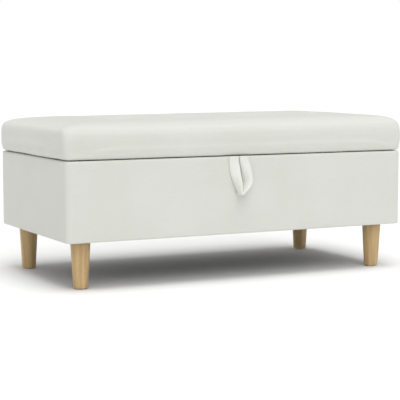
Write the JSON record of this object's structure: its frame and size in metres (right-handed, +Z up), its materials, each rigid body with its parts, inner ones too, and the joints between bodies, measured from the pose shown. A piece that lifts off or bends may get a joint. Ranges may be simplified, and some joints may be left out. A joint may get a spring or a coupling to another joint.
{
  "type": "storage bench",
  "caption": "Upholstered storage bench: a long padded box on round tapered wooden legs, with a thick hinged seat lid and a fabric pull loop at the front.",
  "frame": {"origin": "on the floor, under the middle of the bench's overall footprint, pull loop and hinge barrels included", "axes": "+X along the bench's length to its right as seen from the front, +Y to the back, +Z up; the pull loop is on the -Y side"},
  "size_m": [1.023, 0.5473, 0.434],
  "materials": {
    "cream_fabric": "matte",
    "plywood": "matte",
    "softwood": "matte",
    "beech": "satin",
    "foam": "matte",
    "black_nonwoven": "matte",
    "zinc_steel": "satin",
    "black_steel": "satin",
    "chrome_rod": "polished",
    "nylon": "matte"
  },
  "bodies": {
    "box": {"back_batten": "softwood", "back_panel": "plywood", "bottom_panel": "plywood", "box_lining": "black_nonwoven", "box_upholstery": "cream_fabric", "dust_cover": "black_nonwoven", "front_batten": "softwood", "front_panel": "plywood", "hinge_box_leaf_left": "zinc_steel", "hinge_box_leaf_right": "zinc_steel", "hinge_pin_left": "zinc_steel", "hinge_pin_right": "zinc_steel", "left_batten": "softwood", "left_panel": "plywood", "leg_back_left": "beech", "leg_back_right": "beech", "leg_block_back_left": "softwood", "leg_block_back_right": "softwood", "leg_block_front_left": "softwood", "leg_block_front_right": "softwood", "leg_bolt_back_left": "zinc_steel", "leg_bolt_back_right": "zinc_steel", "leg_bolt_front_left": "zinc_steel", "leg_bolt_front_right": "zinc_steel", "leg_front_left": "beech", "leg_front_right": "beech", "leg_glide_back_left": "nylon", "leg_glide_back_right": "nylon", "leg_glide_front_left": "nylon", "leg_glide_front_right": "nylon", "leg_insert_back_left": "zinc_steel", "leg_insert_back_right": "zinc_steel", "leg_insert_front_left": "zinc_steel", "leg_insert_front_right": "zinc_steel", "right_batten": "softwood", "right_panel": "plywood", "strut_box_bracket_left": "zinc_steel", "strut_box_bracket_right": "zinc_steel"},
    "lid": {"hinge_lid_leaf_left": "zinc_steel", "hinge_lid_leaf_right": "zinc_steel", "lid_board": "plywood", "lid_button_1": "cream_fabric", "lid_button_2": "cream_fabric", "lid_button_3": "cream_fabric", "lid_button_4": "cream_fabric", "lid_button_5": "cream_fabric", "lid_button_6": "cream_fabric", "lid_button_7": "cream_fabric", "lid_button_8": "cream_fabric", "lid_cover": "cream_fabric", "lid_foam": "foam", "lid_lining": "black_nonwoven", "strut_lid_bracket_left": "zinc_steel", "strut_lid_bracket_right": "zinc_steel"},
    "pull_loop": {"pull_loop": "cream_fabric"},
    "strut_cylinder_left": {"strut_cylinder_left": "black_steel"},
    "strut_rod_left": {"strut_rod_left": "chrome_rod"},
    "strut_cylinder_right": {"strut_cylinder_right": "black_steel"},
    "strut_rod_right": {"strut_rod_right": "chrome_rod"}
  },
  "joints": [
    {"name": "lid_hinge", "type": "hinge", "parent": "box", "child": "lid", "pos_m": [0, 0.2695, 0.33075], "axis": [-1, 0, 0], "range_deg": [0, 80]},
    {"name": "pull_loop_swing", "type": "hinge", "parent": "lid", "child": "pull_loop", "pos_m": [-0.018, -0.244, 0.33075], "axis": [-1, 0, 0], "range_deg": [0, 75]},
    {"name": "strut_cylinder_left_pivot", "type": "hinge", "parent": "lid", "child": "strut_cylinder_left", "pos_m": [-0.464, 0.12007, 0.31768], "axis": [-1, 0, 0], "range_deg": [-40, 0]},
    {"name": "strut_rod_left_pivot", "type": "hinge", "parent": "box", "child": "strut_rod_left", "pos_m": [-0.464, 0.23245, 0.1854], "axis": [-1, 0, 0], "range_deg": [0, 40]},
    {"name": "strut_cylinder_right_pivot", "type": "hinge", "parent": "lid", "child": "strut_cylinder_right", "pos_m": [0.464, 0.12007, 0.31768], "axis": [-1, 0, 0], "range_deg": [-40, 0]},
    {"name": "strut_rod_right_pivot", "type": "hinge", "parent": "box", "child": "strut_rod_right", "pos_m": [0.464, 0.23245, 0.1854], "axis": [-1, 0, 0], "range_deg": [0, 40]}
  ],
  "couplings": [
    {"joint": "strut_cylinder_left_pivot", "follows": "lid_hinge", "ratio": -0.5},
    {"joint": "strut_rod_left_pivot", "follows": "lid_hinge", "ratio": 0.5},
    {"joint": "strut_cylinder_right_pivot", "follows": "lid_hinge", "ratio": -0.5},
    {"joint": "strut_rod_right_pivot", "follows": "lid_hinge", "ratio": 0.5}
  ]
}
